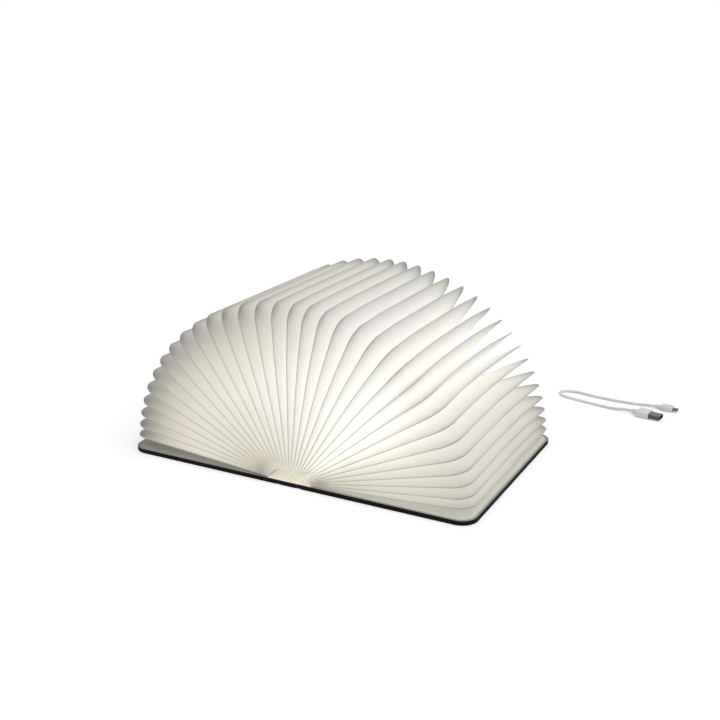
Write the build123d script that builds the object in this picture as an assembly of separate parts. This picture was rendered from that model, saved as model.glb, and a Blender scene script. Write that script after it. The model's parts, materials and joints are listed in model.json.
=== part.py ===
from build123d import *
import math
import os

# Folding book lamp, opened flat on a table. Millimetres, +Z up.
# Origin: underside of the spine, midway along it. +X towards the right cover, +Y towards the head end.

# Driving dimensions of the covers and the spine
COVER_LENGTH = 222.0
COVER_REACH = 170.5
COVER_CORNER_R = 16.0
SKIN = 0.8
BOARD = 3.0
LINING = 0.4
SPINE_HALF_WIDTH = 12.5
SPINE_BOARD_HALF = 8.0
HINGE_HEIGHT = 0.5
CLOTH_RISE = 0.3
CLOTH = 0.5
HINGE_TO_COVER = 2.0
EDGE_ROUNDING = 0.6
SEAT_GAP = 0.1

# Driving dimensions of the paper leaves
LEAVES_RIGHT = 17
LEAVES_LEFT = 15
CROWDING = 0.5
COVER_STEP = 1.3
PAGE_MARGIN = 2.0
PAGE_CORNER_R = 15.0
PAPER = 0.2
BOND_BAND = 2.5
GROOVE_DEPTH = 48.0
GROOVE_CORNER_R = 12.0
TUNNEL_REACH = 11.5
CORNER_STEPS = 6

# Driving dimensions of the light bar
BAR_HALF_WIDTH = 7.3
BAR_FOOT_INSET = 40.0
BAR_HEAD_INSET = 14.0
BAR_WALL = 0.9
BAR_HEIGHT = 5.6
DIFFUSER_HEIGHT = 3.2
DIFFUSER_WALL = 0.7
LIP = 0.8
RAIL = 0.8
TAB_LENGTH = 9.0
CAP_THICKNESS = 1.2
CELL_THICKNESS = 3.0
CELL_HALF_WIDTH = 5.4
CELL_LENGTH = 92.0
CELL_FOOT_GAP = 4.0
PCB = 1.0
LED_COUNT = 16
LED_SIZE = (3.5, 2.8, 0.8)
CHARGE_BOARD_LENGTH = 34.0
REED_R = 1.0
REED_LENGTH = 12.0
SOCKET_SIZE = (7.5, 5.6, 2.5)
SOCKET_WALL = 0.35
SCREW_R = 1.0
SCREW_HEAD_R = 1.9
SCREW_HEAD_HEIGHT = 1.0
SCREW_SINK = 2.4
SCREW_SPACING = 4.6
INNER_SCREW_SHARE = 10 / 19

# Driving dimensions of the covers' magnets
MAGNET_R = 4.0
MAGNET_HEIGHT = 1.6
MAGNET_EDGE = 10.0
MAGNET_INSET = 41.0

# Driving dimensions of the charging cable and its plugs
CABLE_R = 1.5
A_SHELL = (12.0, 4.5, 12.0)
A_SHELL_WALL = 0.3
A_TONGUE = (10.4, 1.7, 10.6)
A_GRIP = (15.0, 7.4, 15.0)
A_NECK_R = 3.0
A_NECK_LENGTH = 6.0
MICRO_SHELL = (6.9, 1.8, 5.2)
MICRO_SHELL_WALL = 0.3
MICRO_GRIP = (10.0, 6.0, 13.0)
MICRO_NECK_R = 2.5
MICRO_NECK_LENGTH = 6.0

# Derived heights and lengths
HALF_LENGTH = COVER_LENGTH / 2
BAR_FOOT_Y = BAR_FOOT_INSET - HALF_LENGTH
BAR_HEAD_Y = HALF_LENGTH - BAR_HEAD_INSET
HINGE_X = SPINE_HALF_WIDTH - HINGE_HEIGHT
COVER_START = HINGE_X + HINGE_TO_COVER
COVER_END = HINGE_X + COVER_REACH
BOARD_TOP = SKIN + BOARD
COVER_TOP = BOARD_TOP + LINING
PAGE_BASE = COVER_TOP + SEAT_GAP + PAPER
PAGE_REACH = COVER_REACH - PAGE_MARGIN
PAGE_HALF = HALF_LENGTH - PAGE_MARGIN
BAR_TOP = BOARD_TOP + BAR_HEIGHT
BAR_MID_Y = (BAR_FOOT_Y + BAR_HEAD_Y) / 2
BAR_LENGTH = BAR_HEAD_Y - BAR_FOOT_Y
CELL_FOOT_Y = BAR_FOOT_Y + CELL_FOOT_GAP
CELL_HEAD_Y = CELL_FOOT_Y + CELL_LENGTH
CHARGE_BOARD_FOOT_Y = BAR_HEAD_Y - CHARGE_BOARD_LENGTH
CHANNEL_HALF = BAR_HALF_WIDTH - BAR_WALL
CHANNEL_FLOOR = BOARD_TOP + BAR_WALL
LED_BOARD_BASE = BAR_TOP - PCB


def save(name, *solids):
    """Write one named sub-part, one or several separate solids."""
    shape = solids[0] if len(solids) == 1 else Compound(children=list(solids))
    export_step(shape, f"parts/{name}.step")


def block(x, y, z):
    """Box between the low and high values given for each axis."""
    low = (x[0], y[0], z[0])
    size = (x[1] - x[0], y[1] - y[0], z[1] - z[0])
    return Pos(*low) * Box(*size, align=(Align.MIN, Align.MIN, Align.MIN))


def mirrored(shape):
    """The same piece on the other side of the spine."""
    return shape.mirror(Plane.YZ)


# Covers

def cover_plate(inset, low, high):
    """Plate of the right cover's outline, drawn in by inset at its three free edges."""
    reach = COVER_END - inset - COVER_START
    width = COVER_LENGTH - 2 * inset
    middle = COVER_START + reach / 2
    plate = Pos(middle, 0, low) * extrude(Rectangle(reach, width), high - low)
    outer = plate.edges().filter_by(Axis.Z).group_by(Axis.X)[-1]
    return fillet(outer, COVER_CORNER_R - inset)


def cover_skin():
    """Leatherette under the board and turned up round its three free edges, rounded where it turns."""
    plate = cover_plate(0, 0, COVER_TOP)
    under = plate.edges().group_by(Axis.Z)[0].sort_by(Axis.X)[1:]
    return fillet(under, EDGE_ROUNDING) - cover_plate(SKIN, SKIN, COVER_TOP + 1)


def magnet_spots():
    """Centres of the two magnets, near the cover's fore edge."""
    y = HALF_LENGTH - MAGNET_INSET
    return [Pos(COVER_END - MAGNET_EDGE, place, BOARD_TOP) for place in (-y, y)]


def cover_board():
    """Stiff board with a round pocket for each magnet."""
    board = cover_plate(SKIN, SKIN, BOARD_TOP)
    for spot in magnet_spots():
        board -= spot * Pos(0, 0, -MAGNET_HEIGHT / 2) * Cylinder(MAGNET_R + SEAT_GAP, MAGNET_HEIGHT)
    return board


def cover_magnets():
    """Disc magnets flush with the top of the board."""
    return [spot * Pos(0, 0, -MAGNET_HEIGHT / 2) * Cylinder(MAGNET_R, MAGNET_HEIGHT) for spot in magnet_spots()]


def build_covers():
    """Both covers: skin, board, lining and magnets."""
    pieces = {
        "cover_skin": [cover_skin()],
        "cover_board": [cover_board()],
        "cover_lining": [cover_plate(SKIN, BOARD_TOP, COVER_TOP)],
        "cover_magnets": cover_magnets(),
    }
    for name, solids in pieces.items():
        save(f"right_{name}", *solids)
        save(f"left_{name}", *[mirrored(solid) for solid in solids])


# Spine

def screw_spots():
    """Places of the four screws: two in the tab at the foot end, two between the cell and the charge board."""
    tab_y = BAR_FOOT_Y - CAP_THICKNESS - TAB_LENGTH / 2
    inner_y = CELL_HEAD_Y + INNER_SCREW_SHARE * (CHARGE_BOARD_FOOT_Y - CELL_HEAD_Y)
    return [
        Pos(x, y, CHANNEL_FLOOR)
        for y in (tab_y, inner_y)
        for x in (-SCREW_SPACING / 2, SCREW_SPACING / 2)
    ]


def spine_board():
    """Narrow stiff board that carries the light bar, with a pilot hole for each screw."""
    half = SPINE_BOARD_HALF
    board = block((-half, half), (-HALF_LENGTH + SKIN, HALF_LENGTH - SKIN), (SKIN, BOARD_TOP))
    for spot in screw_spots():
        board -= spot * Pos(0, 0, -BAR_WALL) * Cylinder(SCREW_R, 2 * SCREW_SINK)
    return board


def spine_skin():
    """Leatherette under the spine board, turned up at its two ends."""
    half = SPINE_BOARD_HALF
    skin = block((-half, half), (-HALF_LENGTH, HALF_LENGTH), (0, COVER_TOP))
    skin -= block((-half - 1, half + 1), (-HALF_LENGTH + SKIN, HALF_LENGTH - SKIN), (SKIN, COVER_TOP + 1))
    under = skin.edges().filter_by(Axis.X).group_by(Axis.Z)[0]
    return fillet(under, EDGE_ROUNDING)


def hinge_cloth():
    """Flexible strip across the gap between spine and cover, clear of the table and turned up at its ends."""
    across = (SPINE_BOARD_HALF, COVER_START)
    end = HALF_LENGTH - SKIN
    strip = block(across, (-HALF_LENGTH, HALF_LENGTH), (CLOTH_RISE, COVER_TOP))
    strip -= block(across, (-end, end), (CLOTH_RISE + CLOTH, COVER_TOP))
    under = strip.edges().filter_by(Axis.X).group_by(Axis.Z)[0]
    return fillet(under, EDGE_ROUNDING - CLOTH_RISE)


def build_spine():
    save("spine_board", spine_board())
    save("spine_skin", spine_skin())
    save("hinge_cloth", hinge_cloth(), mirrored(hinge_cloth()))


# Paper leaves

def leaf_angles():
    """Angle of every leaf above the right cover, and of the bonded grooves between them, in degrees.

    From the upright leaf down to a cover the pitch narrows: a share q of the way in steps
    is q + CROWDING q^2 (1 - q) of the quarter turn. The last leaf stops COVER_STEP steps short of it.
    """
    def from_upright(step, steps):
        q = step / (steps + COVER_STEP)
        return 90 * (q + CROWDING * q * q * (1 - q))

    right = [90 - from_upright(k, LEAVES_RIGHT) for k in range(LEAVES_RIGHT, 0, -1)]
    left = [90 + from_upright(k, LEAVES_LEFT) for k in range(1, LEAVES_LEFT + 1)]
    leaves = right + [90.0] + left
    grooves = [0.0] + [(a + b) / 2 for a, b in zip(leaves, leaves[1:])] + [180.0]
    return leaves, grooves


def outline(reach, half, radius, start):
    """Points (u, v) along a leaf's free outline, from the foot edge round both corners to the head edge."""
    turns = [math.pi / 2 * k / CORNER_STEPS for k in range(CORNER_STEPS + 1)]
    corner = [
        (reach - radius + radius * math.sin(t), -half + radius - radius * math.cos(t)) for t in turns
    ]
    foot = [(start, -half)] + corner
    return foot + [(u, -v) for u, v in reversed(foot)]


def leaf_frame(angle):
    """Base point and directions of a leaf: u outwards, v along the spine, n towards the left cover."""
    turn = math.radians(angle)
    base = Vector(HINGE_X * math.cos(turn), 0, PAGE_BASE)
    return base, Vector(math.cos(turn), 0, math.sin(turn)), Vector(0, 1, 0), Vector(-math.sin(turn), 0, math.cos(turn))


def rise_to_groove(point, across, groove):
    """Distance from a point of a leaf, along across, to the plane of the groove at its side."""
    base, _, _, normal = leaf_frame(groove)
    return (base - point).dot(normal) / across.dot(normal)


def leaf(angle, groove_below, groove_above):
    """Two sheets bonded along their outer edge, opening to the grooves on either side.

    A ruled loft through flat sections: each runs from the free outline inwards to the groove's outline.
    """
    base, along_u, along_v, across = leaf_frame(angle)
    rim = outline(PAGE_REACH, PAGE_HALF, PAGE_CORNER_R, TUNNEL_REACH)
    inner = outline(PAGE_REACH - GROOVE_DEPTH, PAGE_HALF - GROOVE_DEPTH, GROOVE_CORNER_R, TUNNEL_REACH)
    sections = []
    for (u, v), (inner_u, inner_v) in zip(rim, inner):
        edge = base + along_u * u + along_v * v
        groove = base + along_u * inner_u + along_v * inner_v
        inward = (groove - edge).normalized()
        band = edge + inward * BOND_BAND
        above = rise_to_groove(groove, across, groove_above) - SEAT_GAP / 2
        below = rise_to_groove(groove, across, groove_below) + SEAT_GAP / 2
        corners = [
            edge + across * PAPER,
            band + across * PAPER,
            groove + across * above,
            groove + across * (above - PAPER),
            band,
            groove + across * (below + PAPER),
            groove + across * below,
            band - across * PAPER,
            edge - across * PAPER,
        ]
        sections.append(make_face(Polyline(*corners, close=True)))
    return loft(sections, ruled=True)


def build_leaves():
    leaves, grooves = leaf_angles()
    for number, angle in enumerate(leaves, start=1):
        save(f"page_{number:02d}", leaf(angle, grooves[number - 1], grooves[number]))


# Light bar

def bar_base():
    """Open channel with two inner rails under the LED board and a screw tab beyond the foot end."""
    half = BAR_HALF_WIDTH
    along = (BAR_FOOT_Y, BAR_HEAD_Y)
    foot = BAR_FOOT_Y - CAP_THICKNESS - TAB_LENGTH
    channel = block((-half, half), along, (BOARD_TOP, BAR_TOP + LIP))
    channel -= block((-CHANNEL_HALF, CHANNEL_HALF), along, (CHANNEL_FLOOR, BAR_TOP + LIP))
    rail = block((CHANNEL_HALF - RAIL, CHANNEL_HALF), along, (LED_BOARD_BASE - RAIL, LED_BOARD_BASE))
    channel += [rail, mirrored(rail)]
    channel += block((-half, half), (foot, BAR_HEAD_Y + CAP_THICKNESS), (BOARD_TOP, CHANNEL_FLOOR))
    for spot in screw_spots():
        channel -= spot * Cylinder(SCREW_R + SEAT_GAP, 4 * BAR_WALL)
    return channel


def bar_diffuser():
    """Domed translucent strip that drops between the channel's walls onto the LED board's edges."""
    def profile(width, height, radius):
        half = width / 2
        shape = Pos(0, height / 2) * Rectangle(width, height)
        return fillet(shape.vertices().group_by(Axis.Y)[-1], min(radius, half))

    width = 2 * (CHANNEL_HALF - SEAT_GAP)
    outer = profile(width, DIFFUSER_HEIGHT, 2.4)
    inner = profile(width - 2 * DIFFUSER_WALL, DIFFUSER_HEIGHT - DIFFUSER_WALL, 1.8)
    section = Plane(origin=(0, BAR_HEAD_Y, BAR_TOP), x_dir=(1, 0, 0), z_dir=(0, -1, 0)) * (outer - inner)
    return extrude(section, BAR_LENGTH)


def end_cap(wall_y, outward):
    """Flat cap over one end of the channel and diffuser."""
    y = sorted((wall_y, wall_y + outward * CAP_THICKNESS))
    half = BAR_HALF_WIDTH
    return block((-half, half), y, (CHANNEL_FLOOR, BAR_TOP + DIFFUSER_HEIGHT))


def socket_seat():
    """Centre of the charging socket's mouth, at the outer face of the head end's cap."""
    board_top = CHANNEL_FLOOR + PCB
    return Pos(0, BAR_HEAD_Y + CAP_THICKNESS, board_top + SOCKET_SIZE[2] / 2)


def socket_body(extra):
    """Solid envelope of the socket, grown by extra on its sides."""
    wide, deep, high = SOCKET_SIZE
    return socket_seat() * Pos(0, -deep / 2, 0) * Box(wide + 2 * extra, deep, high + 2 * extra)


def usb_socket():
    """Folded metal shell, open at its mouth, with a contact tongue."""
    wide, deep, high = SOCKET_SIZE
    shell = socket_body(0)
    shell -= socket_seat() * Pos(0, -deep / 2 + SOCKET_WALL, 0) * Box(
        wide - 2 * SOCKET_WALL, deep, high - 2 * SOCKET_WALL
    )
    tongue_length = deep * 0.6
    tongue_y = -deep + SOCKET_WALL + tongue_length / 2
    return shell + socket_seat() * Pos(0, tongue_y, 0) * Box(wide / 2, tongue_length + SOCKET_WALL, SOCKET_WALL * 1.5)


def screw():
    """Pan-head screw: head on the tab, shank into the spine board."""
    head = Pos(0, 0, SCREW_HEAD_HEIGHT / 2) * Cylinder(SCREW_HEAD_R, SCREW_HEAD_HEIGHT)
    head = chamfer(head.edges().group_by(Axis.Z)[-1], 0.3)
    sink = SCREW_SINK + BAR_WALL - SEAT_GAP
    shank = Pos(0, 0, -sink / 2) * Cylinder(SCREW_R, sink)
    return head + shank


def led_spots():
    """Centres of the LED chips along the board."""
    pitch = (BAR_LENGTH - 12) / LED_COUNT
    return [Pos(0, BAR_MID_Y + pitch * (k - (LED_COUNT - 1) / 2), BAR_TOP) for k in range(LED_COUNT)]


def build_light_bar():
    half_board = CHANNEL_HALF - SEAT_GAP
    save("bar_base", bar_base())
    save("bar_diffuser", bar_diffuser())
    head_cap = end_cap(BAR_HEAD_Y, 1) - socket_body(SEAT_GAP)
    save("bar_end_caps", end_cap(BAR_FOOT_Y, -1), head_cap)
    save("bar_screws", *[spot * screw() for spot in screw_spots()])
    led_board = block((-half_board, half_board), (BAR_FOOT_Y, BAR_HEAD_Y), (LED_BOARD_BASE, BAR_TOP))
    save("led_board", led_board)
    wide, deep, high = LED_SIZE
    save("led_chips", *[spot * Pos(0, 0, high / 2) * Box(wide, deep, high) for spot in led_spots()])
    cell_y = (CELL_FOOT_Y, CELL_HEAD_Y)
    cell = block((-CELL_HALF_WIDTH, CELL_HALF_WIDTH), cell_y, (CHANNEL_FLOOR, CHANNEL_FLOOR + CELL_THICKNESS))
    save("battery", fillet(cell.edges().filter_by(Axis.Y), 1.0))
    board_y = (CHARGE_BOARD_FOOT_Y, BAR_HEAD_Y)
    save("charge_board", block((-half_board, half_board), board_y, (CHANNEL_FLOOR, CHANNEL_FLOOR + PCB)))
    reed = Rot(90, 0, 0) * Cylinder(REED_R, REED_LENGTH)
    reed_y = CHARGE_BOARD_FOOT_Y + REED_LENGTH
    save("reed_switch", Pos(0, reed_y, CHANNEL_FLOOR + PCB + REED_R) * reed)
    save("usb_socket", usb_socket())


# Charging cable, lying free on the table beside the lamp. Its route, from plug to plug.

A_PLUG_AT = (237.0, 220.0)
A_PLUG_DIRECTION = (0.988, -0.155)
MICRO_PLUG_AT = (256.5, 247.5)
MICRO_PLUG_DIRECTION = (1.0, -0.015)
STRAIGHT_EXIT = 8.0


def plug_place(at, direction, height):
    """Local frame of a plug: +X the way it points, origin where the cable enters its neck."""
    return Plane(origin=(*at, height), x_dir=(*direction, 0), z_dir=(0, 0, 1)).location


def flat_tube(size, wall):
    """Rectangular shell along +X, open at its front, closed by a wall at its rear."""
    wide, high, length = size
    shell = Pos(length / 2, 0, 0) * Box(length, wide, high)
    shell = fillet(shell.edges().filter_by(Axis.X), min(0.6, high / 3))
    return shell - Pos(length / 2 + wall, 0, 0) * Box(length, wide - 2 * wall, high - 2 * wall)


def grip(size, neck_r, neck_length, edge):
    """Moulded grip with a tapered neck at its rear."""
    wide, high, length = size
    body = Pos(neck_length + length / 2, 0, 0) * Box(length, wide, high)
    body = fillet(body.edges().filter_by(Axis.X), edge)
    rear = body.edges().group_by(Axis.X)[0]
    body = chamfer(rear, edge * 0.8)
    neck = Pos(neck_length / 2, 0, 0) * Rot(0, 90, 0) * Cone(CABLE_R + 0.6, neck_r, neck_length)
    return body + neck


def cable_route():
    """Points of the cable's centreline, out of one neck, round the hairpin and into the other."""
    start = Vector(*A_PLUG_AT, A_GRIP[1] / 2)
    end = Vector(*MICRO_PLUG_AT, MICRO_GRIP[1] / 2)
    table = CABLE_R
    return [
        start,
        start - Vector(*A_PLUG_DIRECTION, 0).normalized() * STRAIGHT_EXIT,
        Vector(215.5, 222.5, table),
        Vector(196.5, 226.0, table),
        Vector(178.0, 230.0, table),
        Vector(162.5, 233.5, table),
        Vector(151.5, 238.0, table),
        Vector(147.5, 247.0, table),
        Vector(154.5, 254.5, table),
        Vector(167.5, 255.5, table),
        Vector(183.5, 251.5, table),
        Vector(201.5, 249.0, table),
        Vector(221.5, 248.0, table),
        Vector(238.0, 248.5, table),
        end - Vector(*MICRO_PLUG_DIRECTION, 0).normalized() * STRAIGHT_EXIT,
        end,
    ]


def tube_radii(points):
    """Largest radius that each corner's two runs allow."""
    radii = []
    for before, here, after in zip(points, points[1:], points[2:]):
        turn = (here - before).get_angle(after - here)
        shorter = min((here - before).length, (after - here).length)
        radii.append(0.45 * shorter / math.tan(math.radians(turn) / 2))
    return radii


def charge_cable():
    points = cable_route()
    radii = tube_radii(points)
    print("cable radii", [round(r, 1) for r in radii])
    path = FilletPolyline(*points, radius=radii)
    print("cable length", round(path.length, 1))
    section = Plane(origin=path @ 0, z_dir=path % 0) * Circle(CABLE_R)
    tube = sweep(section, path=path)
    print("cable volume share", round(tube.volume / (math.pi * CABLE_R**2 * path.length), 4))
    return tube


def build_cable():
    save("charge_cable", charge_cable())
    a_place = plug_place(A_PLUG_AT, A_PLUG_DIRECTION, A_GRIP[1] / 2)
    a_front = a_place * Pos(A_NECK_LENGTH + A_GRIP[2], 0, 0)
    save("usb_a_grip", a_place * grip(A_GRIP, A_NECK_R, A_NECK_LENGTH, 1.6))
    save("usb_a_shell", a_front * flat_tube(A_SHELL, A_SHELL_WALL))
    wide, high, length = A_TONGUE
    tongue_z = -(A_SHELL[1] / 2 - A_SHELL_WALL) + high / 2
    save("usb_a_tongue", a_front * Pos(A_SHELL_WALL + length / 2, 0, tongue_z) * Box(length, wide, high))
    micro_place = plug_place(MICRO_PLUG_AT, MICRO_PLUG_DIRECTION, MICRO_GRIP[1] / 2)
    micro_front = micro_place * Pos(MICRO_NECK_LENGTH + MICRO_GRIP[2], 0, 0)
    save("micro_usb_grip", micro_place * grip(MICRO_GRIP, MICRO_NECK_R, MICRO_NECK_LENGTH, 1.3))
    save("micro_usb_shell", micro_front * flat_tube(MICRO_SHELL, MICRO_SHELL_WALL))


os.makedirs("parts", exist_ok=True)
build_covers()
build_spine()
build_leaves()
build_light_bar()
build_cable()
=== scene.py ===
"""Folding book lamp, opened flat: a half-circle fan of paper leaves between two black covers."""
import json
import math

import bpy
import numpy as np
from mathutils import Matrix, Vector


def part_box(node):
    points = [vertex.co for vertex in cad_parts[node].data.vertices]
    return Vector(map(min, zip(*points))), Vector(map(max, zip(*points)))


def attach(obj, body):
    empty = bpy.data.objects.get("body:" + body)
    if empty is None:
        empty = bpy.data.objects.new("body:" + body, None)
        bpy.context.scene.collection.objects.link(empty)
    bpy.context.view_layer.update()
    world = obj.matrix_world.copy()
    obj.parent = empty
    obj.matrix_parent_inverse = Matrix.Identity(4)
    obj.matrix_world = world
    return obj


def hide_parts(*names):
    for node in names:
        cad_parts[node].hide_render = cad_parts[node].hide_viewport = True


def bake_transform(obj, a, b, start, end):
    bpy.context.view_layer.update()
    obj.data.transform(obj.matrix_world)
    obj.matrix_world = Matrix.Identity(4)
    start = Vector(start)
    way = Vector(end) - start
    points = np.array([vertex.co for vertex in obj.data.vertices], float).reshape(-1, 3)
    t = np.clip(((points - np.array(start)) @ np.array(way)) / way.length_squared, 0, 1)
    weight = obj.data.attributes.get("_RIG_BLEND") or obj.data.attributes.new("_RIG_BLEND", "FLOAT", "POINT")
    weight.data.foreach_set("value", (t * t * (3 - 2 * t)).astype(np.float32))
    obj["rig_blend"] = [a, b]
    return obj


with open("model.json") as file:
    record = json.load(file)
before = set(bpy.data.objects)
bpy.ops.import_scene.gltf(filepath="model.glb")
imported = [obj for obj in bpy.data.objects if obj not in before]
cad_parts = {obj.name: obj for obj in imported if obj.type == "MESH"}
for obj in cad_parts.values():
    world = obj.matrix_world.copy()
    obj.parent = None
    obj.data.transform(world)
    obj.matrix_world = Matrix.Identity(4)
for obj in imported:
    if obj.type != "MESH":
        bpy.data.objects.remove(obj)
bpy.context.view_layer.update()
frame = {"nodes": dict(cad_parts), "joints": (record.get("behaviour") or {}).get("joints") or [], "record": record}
MM = 0.001


# Sizes read from the frame

def joint(name):
    """The record's entry for one joint."""
    return next(j for j in frame["joints"] if j["name"] == name)


def span(node, axis):
    """Lowest and highest value of a node along one axis, in metres."""
    low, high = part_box(node)
    return low[axis], high[axis]


HINGE_X, _, HINGE_Z = joint("right_cover_hinge")["pos_m"]
COVER_END = span("right_cover_skin", 0)[1]
COVER_START = span("right_cover_skin", 0)[0]
COVER_HALF = span("right_cover_skin", 1)[1]
COVER_TOP = span("right_cover_skin", 2)[1]
BOARD_TOP = span("spine_board", 2)[1]
SPINE_HALF = span("spine_board", 0)[1]
PAGE_HALF = span("page_18", 1)[1]
PAGE_TOP = span("page_18", 2)[1]

# The leaves' own sizes, as the paper is cut, bonded and curled
PAPER = 0.2 * MM
SEAT_GAP = 0.1 * MM
PAGE_BASE = COVER_TOP + SEAT_GAP + PAPER
PAGE_REACH = PAGE_TOP - PAGE_BASE
PAGE_CORNER_R = 15 * MM
GROOVE_DEPTH = 48 * MM
GROOVE_CORNER_R = 12 * MM
TUNNEL_REACH = span("page_18", 2)[0] - PAGE_BASE
BOND_BAND = 2.5 * MM
CORNER_CURL = -2.2 * MM
CURL_WIDTH = 34 * MM
FORE_LIFT = 2.6 * MM

# Leaves that curl and leaves that lift: first and last angle, and the angle over which it fades
CURLED = (50, 140, 30)
LIFTED = (12, 42, 14)

# Trim, cloth and cable
RIB = 0.5 * MM
RIB_PITCH = 2.6 * MM
CLOTH = 0.6 * MM
TRIM_GAP = 0.1 * MM
ENDPAPER_RIM = 2 * MM
CABLE_R = 1.5 * MM


# Shader maths written as expressions

class Graph:
    """Node tree of one material; makes nodes and wraps their sockets."""

    def __init__(self, name):
        self.material = bpy.data.materials.new(name)
        self.material.use_nodes = True
        self.tree = self.material.node_tree
        self.tree.nodes.clear()
        self.surface = self.node("ShaderNodeOutputMaterial")

    def node(self, kind, settings=None, **inputs):
        """One node with its settings, and its inputs by name, with _ for a space, or by number as i0, i1."""
        made = self.tree.nodes.new(kind)
        for key, value in (settings or {}).items():
            setattr(made, key, value)
        for key, value in inputs.items():
            socket = made.inputs[int(key[1:])] if key[1:].isdigit() else made.inputs[key.replace("_", " ")]
            self.feed(socket, value)
        return made

    def feed(self, socket, value):
        if isinstance(value, Wire):
            self.tree.links.new(value.socket, socket)
        else:
            socket.default_value = value

    def wire(self, kind, output=0, settings=None, **inputs):
        return Wire(self, self.node(kind, settings, **inputs).outputs[output])

    def position(self):
        return self.wire("ShaderNodeTexCoord", "Object")

    def attribute(self, name):
        return self.wire("ShaderNodeAttribute", "Fac", {"attribute_name": name})

    def noise(self, vector, scale, detail=2.0, rough=0.5):
        values = {"Vector": vector, "Scale": scale, "Detail": detail, "Roughness": rough}
        return self.wire("ShaderNodeTexNoise", 0, None, **values)

    def mix(self, share, first, second):
        """Colour from first at share 0 to second at share 1."""
        settings = {"data_type": "RGBA"}
        return self.wire("ShaderNodeMix", 2, settings, i0=share, i6=first, i7=second)

    def bump(self, height, distance, strength=1.0):
        return self.wire("ShaderNodeBump", 0, None, Height=height, Distance=distance, Strength=strength)

    def show(self, shader):
        """The shader becomes the material's surface."""
        self.feed(self.surface.inputs["Surface"], shader)
        return self.material

    def finish(self, **inputs):
        return self.show(self.wire("ShaderNodeBsdfPrincipled", 0, None, **inputs))


class Wire:
    """An output socket that adds Math nodes when used in an expression."""

    def __init__(self, graph, socket):
        self.graph, self.socket = graph, socket

    def maths(self, operation, first, second=0.0):
        return self.graph.wire("ShaderNodeMath", 0, {"operation": operation}, i0=first, i1=second)

    def __add__(self, other):
        return self.maths("ADD", self, other)

    def __sub__(self, other):
        return self.maths("SUBTRACT", self, other)

    def __mul__(self, other):
        return self.maths("MULTIPLY", self, other)

    __radd__ = __add__
    __rmul__ = __mul__

    def clamped(self):
        clip = self.maths("ADD", self, 0.0)
        clip.socket.node.use_clamp = True
        return clip

    def ramp(self, low, high):
        """0 below low, 1 above high, smooth between."""
        return self.graph.wire(
            "ShaderNodeMapRange", 0, {"interpolation_type": "SMOOTHSTEP"},
            i0=self, i1=low, i2=high, i3=0.0, i4=1.0,
        )


# Finishes

def shaded(colour, share=1.0):
    """A colour scaled by a share, with full alpha."""
    return tuple(share * c for c in colour[:3]) + (1.0,)


def page_paper():
    """White non-woven paper lit from inside, from each point's glow and warmth; a per-point share of painted shade
    greys its base colour.
    """
    g = Graph("page_paper")
    seam = g.attribute("seam")
    warmth = g.attribute("warmth")
    lit = g.attribute("glow")
    here = g.position()
    fibres = g.noise(here, 420.0, 4.0, 0.65)
    clouds = g.noise(here, 60.0, 2.0, 0.5)
    mottled = lit * (1.0 + 0.07 * (clouds - 0.5) + 0.06 * (fibres - 0.5))
    white, amber, dark = (1.0, 0.99, 0.97, 1.0), (1.0, 0.90, 0.62, 1.0), (0.0, 0.0, 0.0, 1.0)
    glow = g.mix(mottled.clamped(), dark, g.mix(warmth, white, amber))
    # Painted shade: the base colour turns grey where a point's share of painted shade is high.
    paper = g.mix(seam, (0.64, 0.635, 0.605, 1.0), (0.30, 0.295, 0.28, 1.0))
    return g.finish(
        Base_Color=paper, Roughness=0.72, Emission_Color=glow, Emission_Strength=0.52,
        Normal=g.bump(fibres, 0.04 * MM, 0.5),
    )


def leatherette():
    """Near-black matt skin with a fine pebbled grain."""
    g = Graph("leatherette")
    here = g.position()
    pebbles = g.wire("ShaderNodeTexVoronoi", "Distance", None, Vector=here, Scale=1400.0)
    creases = g.noise(here, 260.0, 3.0)
    height = pebbles * 0.6 + creases * 0.4
    colour = g.mix(creases.ramp(0.35, 0.75), (0.003, 0.002, 0.0015, 1.0), (0.008, 0.0055, 0.004, 1.0))
    return g.finish(
        Base_Color=colour, Roughness=0.55 + 0.2 * pebbles, Specular_IOR_Level=0.16,
        Normal=g.bump(height, 0.12 * MM, 0.7),
    )


def plain(name, colour, roughness, metallic=0.0, grain=600.0):
    """A solid finish with faint colour drift, uneven roughness and a fine surface grain."""
    g = Graph(name)
    here = g.position()
    drift = g.noise(here, grain / 12, 2.0)
    fine = g.noise(here, grain, 3.0)
    base = g.mix(drift.ramp(0.3, 0.7), shaded(colour, 0.88), shaded(colour))
    rough = (roughness - 0.05) + 0.1 * fine
    return g.finish(Base_Color=base, Roughness=rough, Metallic=metallic, Normal=g.bump(fine, 0.03 * MM, 0.5))


def glowing(name, colour, strength):
    """A pale finish that gives off light of one colour, with a faint drift."""
    g = Graph(name)
    drift = g.noise(g.position(), 90.0, 2.0)
    tint = g.mix(drift.ramp(0.2, 0.8), shaded(colour, 0.93), shaded(colour))
    pale = (0.9, 0.9, 0.87, 1.0)
    return g.finish(Base_Color=pale, Roughness=0.35, Emission_Color=tint, Emission_Strength=strength)


# Mesh helpers

def grid_faces(rows, columns):
    """Quads of a rows by columns grid of points, row after row."""
    r, c = np.meshgrid(np.arange(rows - 1), np.arange(columns - 1), indexing="ij")
    a = (r * columns + c).ravel()
    return np.stack([a, a + 1, a + columns + 1, a + columns], axis=1)


def place(name, data):
    """A new object in the scene."""
    made = bpy.data.objects.new(name, data)
    bpy.context.scene.collection.objects.link(made)
    return made


def make_piece(name, points, faces, material, smooth=True):
    """A mesh object from an array of points and an array of faces."""
    mesh = bpy.data.meshes.new(name)
    mesh.from_pydata(np.asarray(points).reshape(-1, 3).tolist(), [], np.asarray(faces).tolist())
    mesh.validate()
    if smooth:
        mesh.shade_smooth()
    mesh.materials.append(material)
    return place(name, mesh)


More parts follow.
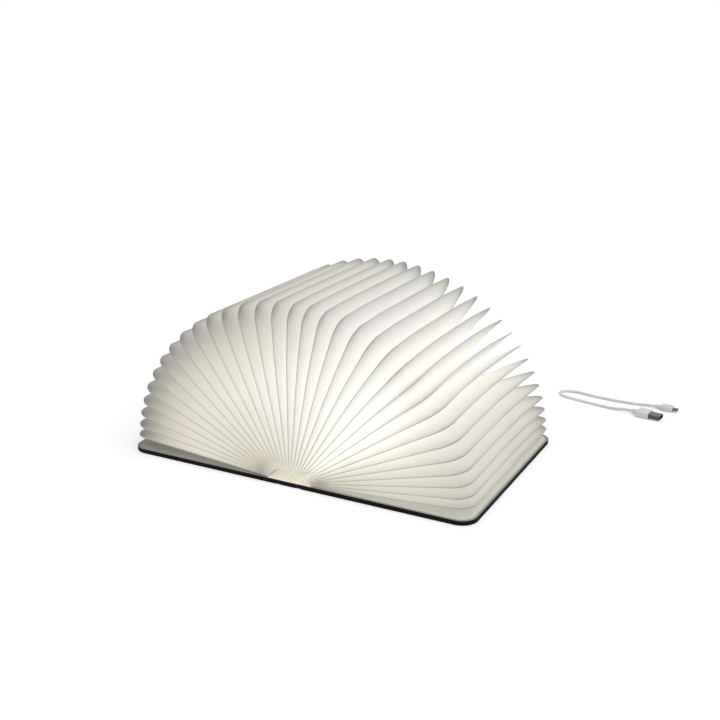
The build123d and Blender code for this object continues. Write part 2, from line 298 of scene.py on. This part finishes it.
def thicken(piece, thickness):
    """Gives a sheet its thickness, half to each side."""
    shell = piece.modifiers.new("thickness", "SOLIDIFY")
    shell.thickness = thickness
    shell.offset = 0.0


def store(piece, name, values):
    """Writes one number per point as an attribute that a material or a blend reads."""
    attribute = piece.data.attributes.get(name) or piece.data.attributes.new(name, "FLOAT", "POINT")
    attribute.data.foreach_set("value", np.asarray(values, np.float32).ravel())


# Paper leaves

def leaf_angles():
    """Each leaf's angle above the right cover, in radians, from its share of its cover's turn."""
    shares = {c["joint"]: c["ratio"] for c in frame["record"]["behaviour"]["couplings"]}
    right = [k for k, c in shares.items() if joint(k)["axis"][1] < 0]
    angles = {}
    for name, share in shares.items():
        turn = 90 - 90 * share if name in right else 90 + 90 * share
        angles[name.replace("_fold", "")] = math.radians(turn)
    angles["page_18"] = math.pi / 2
    return dict(sorted(angles.items()))


def outline(reach, half, radius, steps):
    """Free outline of a leaf as (u, v): foot edge, rounded corner, fore edge, corner, head edge."""
    run, bend, fore = steps
    turn = np.linspace(0, np.pi / 2, bend + 1)
    corner = np.stack([reach - radius * (1 - np.sin(turn)), -half + radius * (1 - np.cos(turn))], axis=1)
    start = np.array([TUNNEL_REACH, -half])
    share = np.linspace(0, 1, run, endpoint=False)[:, None] ** 0.9
    foot = start + (corner[0] - start) * share
    rise = np.linspace(0, 1, fore, endpoint=False)[1:, None]
    along = corner[-1] * (1 - rise) + corner[-1] * [1, -1] * rise
    near = np.concatenate([foot, corner])
    return np.concatenate([near, along, near[::-1] * [1, -1]])


LEAF_STEPS = (22, 10, 25)
ACROSS = np.array([0.0, 0.012, 0.026, 0.052, 0.09, 0.14, 0.21, 0.30, 0.41, 0.54, 0.69, 0.85, 1.0])
BOND_SHARE = BOND_BAND / GROOVE_DEPTH
BOND_RISE = 1.02 * PAPER
RIM = outline(PAGE_REACH, PAGE_HALF, PAGE_CORNER_R, LEAF_STEPS)
GROOVE = outline(PAGE_REACH - GROOVE_DEPTH, PAGE_HALF - GROOVE_DEPTH, GROOVE_CORNER_R, LEAF_STEPS)


def leaf_frame(angle):
    """Base point of a leaf's plane, its direction outwards, and the one across it, towards the left cover."""
    base = np.array([HINGE_X * math.cos(angle), 0, PAGE_BASE])
    out = np.array([math.cos(angle), 0, math.sin(angle)])
    across = np.array([-math.sin(angle), 0, math.cos(angle)])
    return base, out, across


def sheet_points(angle, groove_angle):
    """One sheet of a leaf as a grid (outline, inwards), with each point's share of the way to the groove.

    Each point lies on the straight line from the rim to the groove, lifted off the leaf's plane by
    a share that starts flat at the bond and swells a little on the way: 0.6 straight, 0.4 eased and a
    bulge of 0.16 sin^1.5. The rim's curl is added, and dies away inwards.
    """
    base, out, across = leaf_frame(angle)
    spine = np.array([0.0, 1.0, 0.0])
    rim = base + RIM[:, :1] * out + RIM[:, 1:] * spine
    groove = base + GROOVE[:, :1] * out + GROOVE[:, 1:] * spine
    far_base, _, normal = leaf_frame(groove_angle)
    rise = (far_base - groove) @ normal / (across @ normal)
    side = math.copysign(1.0, groove_angle - angle)
    rise = side * np.maximum(side * rise - SEAT_GAP / 2, PAPER)
    share = np.clip((ACROSS - BOND_SHARE) / (1 - BOND_SHARE), 0, 1)
    lift = 0.6 * share + 0.4 * eased(share) + 0.16 * np.sin(np.pi * share) ** 1.5
    bond = side * BOND_RISE
    height = bond + (rise[:, None] - bond) * lift[None, :]
    flat = rim[:, None, :] + (groove - rim)[:, None, :] * ACROSS[None, :, None]
    curled = height + curl(angle)[:, None] * (1 - ACROSS) ** 1.6
    return flat + curled[..., None] * across, np.abs(height / rise[:, None])


def eased(share):
    """A share from 0 to 1, with a level start and end."""
    return share * share * (3 - 2 * share)


def smooth(value, low, high):
    """0 below low, 1 above high, smooth between."""
    return eased(np.clip((value - low) / (high - low), 0, 1))


def swell(value, low, high, fade):
    """1 between low and high, falling smoothly to 0 within fade outside them."""
    rise = np.clip((value - low + fade) / fade, 0, 1)
    fall = np.clip((high + fade - value) / fade, 0, 1)
    return eased(np.minimum(rise, fall))


def curl(angle):
    """How far the rim bends out of its leaf's plane, towards the left cover where positive.

    Two bells at the rounded corners lean the upper leaves towards the right cover; one long bell lifts
    the middle of the fore edge of the low right leaves.
    """
    lean = math.degrees(angle)
    inset = 0.3 * PAGE_CORNER_R
    away = np.hypot(RIM[:, 0] - (PAGE_REACH - inset), np.abs(RIM[:, 1]) - (PAGE_HALF - inset))
    corners = np.exp(-(away / CURL_WIDTH) ** 2)
    fore = np.clip(RIM[:, 0] / PAGE_REACH, 0, 1) ** 6 * np.cos(np.pi / 2 * RIM[:, 1] / PAGE_HALF)
    return CORNER_CURL * corners * swell(lean, *CURLED) + FORE_LIFT * fore * swell(lean, *LIFTED)


def closed_share(points, hinge_side, target_x):
    """Share of its cover's quarter turn that brings each point to its place in the closed book."""
    x = hinge_side * points[..., 0] - HINGE_X
    z = points[..., 2] - HINGE_Z
    radius = np.hypot(x, z)
    here = np.arctan2(z, x)
    there = np.arccos(np.clip((target_x - HINGE_X) / radius, -1, 1))
    return (there - here) / (np.pi / 2)


# Degrees above the right cover between which a leaf's look changes. Spans with a minus are of the
# negated value, here and below, so that the share grows as the value falls.
LEFT_HALF = (65, 115)
TO_LEFT = (70, 170)
TO_RIGHT = (-45, -3)
LOWEST_LEFT = (125, 168)
LOWEST_RIGHT = (-34, -8)

# Shares of the leaf's reach, and distances, between which its light changes
OUTER_SPAN = (0.5, 1.0)
CORE_SPAN = (-0.40, -0.08)
AWAY_SPAN = (TUNNEL_REACH + 0.5 * MM, TUNNEL_REACH + 7 * MM)
ROOT_SPAN = (-34 * MM, -14 * MM)
INWARD_SPAN = (0.0, 26 * MM)

# Distances over which the painted shade along the bonded rim, the dark rim of the glow and the painted shade of
# the corners and fore edge fade
BOND_SHADE_WIDTH = 1.0 * MM
RIM_WIDTH = 2.6 * MM
OUTER_RIM_WIDTH = 2.4 * MM
FORE_WIDTH = 3 * MM
BEND_WIDTH = 20 * MM
HEAD_SPREAD = 12 * MM
FOOT_SPREAD = 4 * MM
LEFT_FOOT_SPREAD = 9 * MM

# Painted shade, as grey, of the bonded rim, of the corners at the head and at the foot, what the left leaves
# add at the foot, and the fore edge's share of its corners' grey
BOND_SHADE = 0.55
HEAD_GREY = 0.8
FOOT_GREY = 0.3
LEFT_FOOT_GREY = 0.7
FORE_GREY = 0.8

# How much wider the painted shade along the bonded rim is, and how much stronger the rim's loss, at the corners
BOND_SHADE_GAIN = 0.9
BEND_GAIN = 0.9

# Levels of the glow: the upright leaf's, and the shares lost elsewhere
LEVEL = 0.86
LEFT_LOSS = 0.12
RIGHT_LOSS = 0.22
OUTER_LOSS = 0.23
LEFT_OUTER_LOSS = 0.08
RIGHT_OUTER_GAIN = 0.11
RIM_LOSS = 0.46
END_LOSS = 0.5
LEFT_END_LOSS = 0.45
ROOT_LOSS = 0.42
INWARD_LEVEL = 0.82

# Warmth of the light everywhere, and what is added
WARMTH = 0.08
CORE_WARMTH = 0.2
TO_LEFT_WARMTH = 0.18
TO_RIGHT_WARMTH = 0.32
LEFT_WARMTH = 0.12
LEFT_TIP_WARMTH = 0.28


def leaf_places(points, depth, angle):
    """Where each point lies on its leaf, in metres: inwards of the rim, out from the root, off a corner.

    The corner's distance is that from the sharp corner, less 0.41 of the radius that rounds it off.
    """
    inward = np.broadcast_to(depth, points.shape[:2]) * GROOVE_DEPTH
    out = np.hypot(np.abs(points[..., 0]) - HINGE_X * abs(math.cos(angle)), points[..., 2] - PAGE_BASE)
    sharp = np.hypot(out - PAGE_REACH, np.abs(points[..., 1]) - PAGE_HALF)
    return inward, out, sharp - 0.41 * PAGE_CORNER_R


def paper_light(points, depth, angle):
    """Painted shade, glow and warmth of each point of a leaf that leans by an angle above the right cover.

    The painted shade greys the bonded edge, whose double layer lets less light through, as
    exp(-(inward / width)^1.5), and the corners and the fore edge as exp(-distance / width). The glow is a
    level that sinks from the upright leaf to either cover, less the shares lost towards the fore edge,
    at the rim, at the corners and at the lowest leaves' roots, and it rises a little inwards. The warmth
    grows towards the bar, towards the covers and at the left leaves' tips.
    """
    inward, out, corner = leaf_places(points, depth, angle)

    # Which leaf it is, as shares
    lean = math.degrees(angle)
    left = float(smooth(lean, *LEFT_HALF))
    to_left = float(smooth(lean, *TO_LEFT))
    to_right = float(smooth(-lean, *TO_RIGHT))
    lowest = float(smooth(lean, *LOWEST_LEFT) + smooth(-lean, *LOWEST_RIGHT))

    # Where on the leaf each point is, as shares
    head = points[..., 1] > 0
    outer = smooth(out / PAGE_REACH, *OUTER_SPAN)
    core = smooth(-out / PAGE_REACH, *CORE_SPAN)
    away = smooth(out, *AWAY_SPAN)
    root = lowest * smooth(-out, *ROOT_SPAN)
    spread = np.where(head, HEAD_SPREAD, FOOT_SPREAD + LEFT_FOOT_SPREAD * left)
    ends = np.exp(-np.maximum(corner, 0) / spread)
    bent = np.exp(-(corner / BEND_WIDTH) ** 2)
    fore = np.exp(-np.maximum(PAGE_REACH - out, 0) / FORE_WIDTH)
    rim = np.exp(-inward / (RIM_WIDTH + OUTER_RIM_WIDTH * outer))

    # Painted shade: grey along the bonded rim, whose double layer lets less light through, and at the corners and
    # fore edge, far from the bar.
    bond = BOND_SHADE * away * np.exp(-(inward / (BOND_SHADE_WIDTH * (1 + BOND_SHADE_GAIN * ends))) ** 1.5)
    grey = np.where(head, HEAD_GREY, FOOT_GREY + LEFT_FOOT_GREY * left)
    seam = np.maximum(bond, np.maximum(ends ** 1.3, FORE_GREY * fore) * grey)

    level = LEVEL - LEFT_LOSS * to_left - RIGHT_LOSS * to_right
    outer_loss = OUTER_LOSS + LEFT_OUTER_LOSS * left - RIGHT_OUTER_GAIN * to_right
    glow = level * (1 - outer_loss * outer) * (1 - ROOT_LOSS * root)
    glow = glow * (1 - RIM_LOSS * away * (1 + BEND_GAIN * bent) * rim)
    glow = glow * (1 - (END_LOSS + LEFT_END_LOSS * left) * ends)
    glow = glow * (INWARD_LEVEL + (1 - INWARD_LEVEL) * smooth(inward, *INWARD_SPAN))

    warmth = WARMTH + CORE_WARMTH * core * (1 + to_left) + (LEFT_WARMTH + LEFT_TIP_WARMTH * outer) * left
    warmth = warmth + TO_LEFT_WARMTH * to_left + TO_RIGHT_WARMTH * to_right
    return {"seam": seam, "glow": glow, "warmth": np.clip(warmth, 0, 1)}


PAPER_FINISH = page_paper()
CLOSED_HALF = HINGE_X - (PAGE_BASE - HINGE_Z)


def closed_places(count, ordered):
    """Distance of each leaf from the middle plane once the book is closed."""
    return {name: CLOSED_HALF * (1 - (k + 1) / (count + 1)) for k, name in enumerate(ordered)}


def build_leaves():
    """Every leaf as its two sheets, bending with its cover by the share of the turn it takes."""
    angles = leaf_angles()
    names = list(angles)
    middle = names.index("page_18")
    places = closed_places(middle, names[:middle])
    places.update(closed_places(len(names) - middle - 1, names[:middle:-1]))
    places["page_18"] = 0.0
    turns = [angles[n] for n in names]
    grooves = [0.0] + [(a + b) / 2 for a, b in zip(turns, turns[1:])] + [math.pi]
    for k, name in enumerate(names):
        sheets = {}
        for label, groove, other in (("lower", grooves[k], k - 1), ("upper", grooves[k + 1], k + 1)):
            points, share = sheet_points(turns[k], groove)
            cover = "right" if (k < middle or (k == middle and label == "lower")) else "left"
            outermost = other in (-1, len(names))
            groove_x = CLOSED_HALF if outermost else (places[name] + places[names[other]]) / 2
            target = places[name] + (groove_x - places[name]) * share
            weight = closed_share(points, 1 if cover == "right" else -1, target)
            sheets[label] = (points, weight, cover)
        if k == middle:
            for label, (points, weight, cover) in sheets.items():
                leaf_piece(f"{name}_{label}_sheet", name, [points], [weight], cover, turns[k])
        else:
            grids, weights, covers = zip(sheets["lower"], sheets["upper"])
            leaf_piece(f"{name}_paper", name, grids, weights, covers[0], turns[k])


def leaf_piece(piece_name, node, grids, weights, cover, angle):
    """One piece from one or two sheet grids that share the rim."""
    if len(grids) == 2:
        points = np.concatenate([grids[0][:, ::-1], grids[1]], axis=1)
        weight = np.concatenate([weights[0][:, ::-1], weights[1]], axis=1)
        depth = np.concatenate([ACROSS[::-1], ACROSS])
    else:
        points, weight, depth = grids[0], weights[0], ACROSS
    rows, columns = points.shape[:2]
    faces = grid_faces(rows, columns)
    if len(grids) == 1 and cover == "right":
        faces = faces[:, ::-1]
    piece = make_piece(piece_name, points, faces, PAPER_FINISH)
    for name, values in paper_light(points, depth, angle).items():
        store(piece, name, values)
    thicken(piece, PAPER)
    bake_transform(piece, "spine", f"{cover}_cover", start=(0, 0, PAGE_TOP), end=(COVER_END, 0, PAGE_BASE))
    store(piece, "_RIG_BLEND", weight)
    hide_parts(node)


build_leaves()


# Sheets glued flat on the covers, and the white strips along the spine

def rounded_half(reach, half, radius, start, steps=10):
    """Half-outline (x, y) from the middle of the fore edge to the head edge and in to start."""
    turn = np.linspace(0, np.pi / 2, steps)
    corner = np.stack([reach - radius * (1 - np.cos(turn)), half - radius * (1 - np.sin(turn))], axis=1)
    return np.concatenate([[[reach, 0.0]], corner, [[start, half]]])


def flat_sheet(edge, inner, low, high, rings=4):
    """Plate between two heights: its outline, a second one just inside, then rings to the middle line y = 0.

    edge and inner are lists of (x, y) from foot to head; each later ring is inner with y scaled down.
    """
    flat = [(edge, low), (edge, high)] + [(inner * [1, k], high) for k in np.linspace(1, 0, rings)]
    return np.stack([np.column_stack([places, np.full(len(places), height)]) for places, height in flat])


def paper_strip(name, points, seam, glow, warmth):
    """A paper piece lying flat, with one even glow, dimmed and greyed where its painted shade lies."""
    rows, columns = points.shape[:2]
    piece = make_piece(name, points, grid_faces(rows, columns), PAPER_FINISH, smooth=False)
    seam = np.broadcast_to(seam, (rows, columns))
    store(piece, "seam", seam)
    store(piece, "glow", glow * (1 - 0.8 * seam))
    store(piece, "warmth", np.full(rows * columns, warmth))
    return piece


def ribbed_strip(x_range, y_range, low, high):
    """Paper folds side by side along y: a closed section in y and z, its top raised by ribs in x.

    The top stands at high plus RIB times |sin| of x over the ribs' pitch.
    """
    count = round((x_range[1] - x_range[0]) / RIB_PITCH)
    steps = np.linspace(0, 1, 6 * count + 1)
    xs = x_range[0] + (x_range[1] - x_range[0]) * steps
    tops = high + RIB * np.abs(np.sin(np.pi * count * steps)) ** 0.7
    tops[0] = tops[-1] = low
    foot, head = y_range
    flat = np.full_like(xs, low)
    ends = [(foot, flat), (head, flat), (head, tops), (foot, tops), (foot, flat)]
    points = np.stack([np.stack([xs, np.full_like(xs, y), z], axis=1) for y, z in ends], axis=1)
    # Painted shade in the valleys between the ribs: 1 at a rib's foot, 0 from just over half its height up.
    valley_shade = np.clip(1 - (tops - high) / (0.55 * RIB), 0, 1)[:, None]
    return points, np.broadcast_to(valley_shade, points.shape[:2])


# Painted shade share, glow and warmth of each endpaper; the left one is mostly painted shade.
ENDPAPER_LIGHT = {"right": (0.1, 0.33, 0.4), "left": (0.65, 0.05, 0.0)}
FOLD_LIGHT = {"glow": 0.64, "warmth": 0.75}
STRIP_END = COVER_HALF - 0.9 * MM


def endpaper(side, sign):
    """White sheet on a cover's lining, in the painted shade that the fan leaves there, with a painted shadow along
    its edge.
    """
    outlines = []
    for inset in (0.0, ENDPAPER_RIM):
        size = PAGE_HALF - inset, PAGE_CORNER_R - inset, COVER_START
        half_edge = rounded_half(HINGE_X + PAGE_REACH - inset, *size)
        outlines.append(np.concatenate([half_edge[:0:-1] * [1, -1], half_edge])[::-1] * [sign, 1])
    points = flat_sheet(*outlines, COVER_TOP, COVER_TOP + PAPER / 2)
    if sign < 0:
        points = points[:, ::-1]
    seam, glow, warmth = ENDPAPER_LIGHT[side]
    shade = np.full(points.shape[:2], seam)
    # Painted shadow along the sheet's edge: the outline's rows take full shade.
    shade[:2] = 1.0
    sheet = paper_strip(f"{side}_endpaper", points, shade, glow, warmth)
    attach(sheet, f"{side}_cover")


def root_folds(side, sign):
    """Small white folds over a hinge, from the spine to the leaves' roots."""
    across = (SPINE_HALF - CLOTH, HINGE_X + TUNNEL_REACH - 3 * TRIM_GAP)
    ends = (-STRIP_END, STRIP_END)
    folds, valley_shade = ribbed_strip(across, ends, COVER_TOP - PAPER / 2, COVER_TOP + PAPER)
    folds = folds * [sign, 1, 1]
    strip = paper_strip(f"{side}_root_folds", folds[::sign], valley_shade[::sign], **FOLD_LIGHT)
    blend_at_hinge(strip, side, sign)


def build_strips():
    """Endpaper and root folds on each side, and the folds on the spine before and behind the bar."""
    for side, sign in (("right", 1), ("left", -1)):
        endpaper(side, sign)
        root_folds(side, sign)
    bar_foot, bar_head = span("bar_base", 1)
    inner = SPINE_HALF - TRIM_GAP
    stretches = {
        "foot": (-STRIP_END, bar_foot - 2 * TRIM_GAP),
        "head": (bar_head + 2 * TRIM_GAP, STRIP_END),
    }
    for name, ends in stretches.items():
        folds, valley_shade = ribbed_strip((-inner, inner), ends, BOARD_TOP, COVER_TOP)
        strip = paper_strip(f"spine_folds_{name}", folds, valley_shade, **FOLD_LIGHT)
        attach(strip, "spine")


def blend_at_hinge(piece, side, sign):
    """The piece bends between spine and cover within a millimetre of the hinge line."""
    start = (sign * (HINGE_X - MM), 0, HINGE_Z)
    end = (sign * (HINGE_X + MM), 0, HINGE_Z)
    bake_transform(piece, "spine", f"{side}_cover", start=start, end=end)


def build_hinge_cloths():
    """Leatherette across each hinge: a trough profile in y and z, turned up at both ends, swept in x."""
    floor = span("hinge_cloth", 2)[0] + CLOTH / 2
    wall = COVER_HALF - CLOTH / 2
    turn = np.linspace(0, np.pi / 2, 5)
    bend = np.stack([wall - CLOTH * (1 - np.cos(turn)), floor + CLOTH * (1 - np.sin(turn))], axis=1)
    half = np.concatenate([[[wall, COVER_TOP - TRIM_GAP]], bend, [[wall * 0.5, floor]], [[0.0, floor]]])
    profile = np.concatenate([half * [-1, 1], half[-2::-1]])
    xs = np.linspace(SPINE_HALF, COVER_START, 13)
    for side, sign in (("right", 1), ("left", -1)):
        points = np.array([[(sign * x, y, z) for y, z in profile] for x in (xs if sign > 0 else xs[::-1])])
        cloth = make_piece(f"{side}_hinge_cloth", points, grid_faces(*points.shape[:2]), SKIN)
        thicken(cloth, CLOTH)
        blend_at_hinge(cloth, side, sign)
        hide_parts("hinge_cloth")


SKIN = leatherette()
build_strips()
build_hinge_cloths()


# CAD pieces keep their shape and get a finish

def dress(node, material):
    """Gives a node that is carried over from the frame its finish."""
    piece = frame["nodes"][node]
    piece.data.materials.clear()
    piece.data.materials.append(material)


# The cover lining is white paper, painted blue-grey for the shade it lies in beside the leaves.
LINING_IN_SHADE = plain("lining_paper", (0.38, 0.385, 0.40), 0.7, grain=900.0)
for side in ("right", "left"):
    dress(f"{side}_cover_skin", SKIN)
    dress(f"{side}_cover_lining", LINING_IN_SHADE)
    dress(f"{side}_cover_board", plain("greyboard", (0.35, 0.29, 0.22), 0.8))
    dress(f"{side}_cover_magnets", plain("magnet_nickel", (0.62, 0.62, 0.62), 0.3, 1.0))
dress("spine_skin", SKIN)
dress("spine_board", plain("spine_greyboard", (0.62, 0.61, 0.58), 0.8))
WHITE_PLASTIC = plain("bar_plastic", (0.78, 0.78, 0.75), 0.42)
METAL = plain("connector_nickel", (0.13, 0.125, 0.11), 0.26, 1.0)
PLUG = plain("plug_plastic", (0.84, 0.84, 0.85), 0.32)
dress("bar_base", WHITE_PLASTIC)
dress("bar_end_caps", WHITE_PLASTIC)
dress("bar_diffuser", glowing("diffuser_opal", (1.0, 0.95, 0.84, 1.0), 1.0))
dress("bar_screws", plain("screw_zinc", (0.50, 0.50, 0.50), 0.3, 1.0))
dress("led_board", plain("board_white", (0.75, 0.76, 0.74), 0.4))
dress("led_chips", glowing("led_phosphor", (1.0, 0.85, 0.55, 1.0), 3.0))
dress("battery", plain("cell_foil", (0.60, 0.61, 0.63), 0.35, 0.8))
dress("charge_board", plain("board_green", (0.03, 0.16, 0.07), 0.4))
dress("reed_switch", plain("reed_glass", (0.55, 0.65, 0.60), 0.1))
dress("usb_socket", METAL)
dress("usb_a_shell", METAL)
dress("micro_usb_shell", METAL)
dress("usb_a_grip", PLUG)
dress("micro_usb_grip", PLUG)
dress("usb_a_tongue", plain("tongue_black", (0.05, 0.05, 0.05), 0.4))


# Charging cable

def cable_route():
    """Control points of the cable's centreline, plug to plug, in metres: necks, short runs, hairpin."""
    a_neck = np.array([237.0, 220.0, 3.7])
    a_points = np.array([0.988, -0.155, 0.0]) / math.hypot(0.988, 0.155)
    micro_neck = np.array([256.5, 247.5, 3.0])
    micro_points = np.array([1.0, -0.015, 0.0]) / math.hypot(1.0, 0.015)
    straight = 8.0
    hairpin = [
        (215.5, 222.5), (196.5, 226.0), (178.0, 230.0), (162.5, 233.5), (151.5, 238.0), (147.5, 247.0),
        (154.5, 254.5), (167.5, 255.5), (183.5, 251.5), (201.5, 249.0), (221.5, 248.0), (238.0, 248.5),
    ]
    middle = [(x, y, CABLE_R / MM) for x, y in hairpin]
    ends = [a_neck, a_neck - a_points * straight], [micro_neck - micro_points * straight, micro_neck]
    return np.concatenate([ends[0], middle, ends[1]]) * MM


def build_cable():
    """The free cable as one smooth curve with a round section."""
    route = cable_route()
    curve = bpy.data.curves.new("charge_cable_cord", "CURVE")
    curve.dimensions = "3D"
    spline = curve.splines.new("NURBS")
    spline.points.add(len(route) - 1)
    for point, at in zip(spline.points, route):
        point.co = (*at, 1.0)
    spline.order_u = 3
    spline.use_endpoint_u = True
    spline.resolution_u = 12
    curve.bevel_depth = CABLE_R
    curve.bevel_resolution = 6
    curve.use_fill_caps = True
    cord = place("charge_cable_cord", curve)
    curve.materials.append(plain("cable_jacket", (0.86, 0.86, 0.87), 0.4, grain=500.0))
    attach(cord, "spine")
    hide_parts("charge_cable")


build_cable()


# Floor, light and camera

WHITE = (1.0, 1.0, 1.0, 1.0)
FLOOR_SIZE = 20.0
FLOOR_LIFT = 0.37
SKY_COLOUR = (0.95, 0.97, 1.0, 1.0)
SKY_STRENGTH = 0.45


def build_floor():
    """Pale table that keeps the lamp's soft shadow; the camera alone sees it lifted to white."""
    g = Graph("pale_floor")
    seen = g.wire("ShaderNodeLightPath", "Is Camera Ray")
    table = g.wire("ShaderNodeBsdfDiffuse", 0, None, Color=(0.9, 0.9, 0.9, 1.0))
    lift = g.wire("ShaderNodeEmission", 0, None, Color=WHITE, Strength=FLOOR_LIFT)
    shown = g.wire("ShaderNodeAddShader", 0, None, i0=table, i1=lift)
    pale = g.show(g.wire("ShaderNodeMixShader", 0, None, i0=seen, i1=table, i2=shown))
    corners = [(x * FLOOR_SIZE, y * FLOOR_SIZE, 0) for x, y in ((-1, -1), (1, -1), (1, 1), (-1, 1))]
    make_piece("floor", corners, [(0, 1, 2, 3)], pale, smooth=False)


def build_world():
    """Soft even light from all round, and plain white where the background itself is seen."""
    world = bpy.data.worlds.new("studio")
    bpy.context.scene.world = world
    world.use_nodes = True
    tree = world.node_tree
    path = tree.nodes.new("ShaderNodeLightPath")
    mixed = tree.nodes.new("ShaderNodeMixShader")
    lights = tree.nodes["Background"], tree.nodes.new("ShaderNodeBackground")
    for light, colour, strength in zip(lights, (SKY_COLOUR, WHITE), (SKY_STRENGTH, 1.0)):
        light.inputs["Color"].default_value = colour
        light.inputs["Strength"].default_value = strength
    shown = path.outputs["Is Camera Ray"]
    for ray in ("Is Glossy Ray", "Is Transmission Ray"):
        most = tree.nodes.new("ShaderNodeMath")
        most.operation = "MAXIMUM"
        tree.links.new(shown, most.inputs[0])
        tree.links.new(path.outputs[ray], most.inputs[1])
        shown = most.outputs[0]
    sources = (shown, lights[0].outputs[0], lights[1].outputs[0])
    for socket, source in zip(mixed.inputs, sources):
        tree.links.new(source, socket)
    tree.links.new(mixed.outputs[0], tree.nodes["World Output"].inputs[0])


def add_lamp(name, spot, spread, power):
    """Broad distant light shining from a spot towards the middle of the scene."""
    light = bpy.data.lights.new(name, "SUN")
    light.angle = math.radians(spread)
    light.energy = power
    lamp = place(name, light)
    lamp.location = spot
    lamp.rotation_euler = (-Vector(spot)).to_track_quat("-Z", "Y").to_euler()


# The photograph's view: the camera was fitted to the covers' edges and the leaves' tips
AZIMUTH = math.radians(27.46)
ELEVATION = math.radians(18.6)
DISTANCE = 1.0927
TARGET = Vector((0.0, 0.0341, 0.0807))
SENSOR = 36.0
FOCAL_IN_WIDTHS = 1073.97 / 720


def build_camera():
    """Camera at the photograph's viewing angle, aimed at the middle of the fan."""
    level = math.cos(ELEVATION)
    back = Vector((math.sin(AZIMUTH) * level, -math.cos(AZIMUTH) * level, math.sin(ELEVATION)))
    data = bpy.data.cameras.new("camera")
    data.sensor_width = SENSOR
    data.lens = SENSOR * FOCAL_IN_WIDTHS
    data.clip_start = 0.01
    camera = place("camera", data)
    camera.location = TARGET + back * DISTANCE
    camera.rotation_euler = (-back).to_track_quat("-Z", "Y").to_euler()
    bpy.context.scene.camera = camera


build_floor()
build_world()
add_lamp("key", spot=(0.9, -0.5, 1.5), spread=60, power=1.1)
build_camera()
bpy.context.scene.view_settings.view_transform = "Standard"
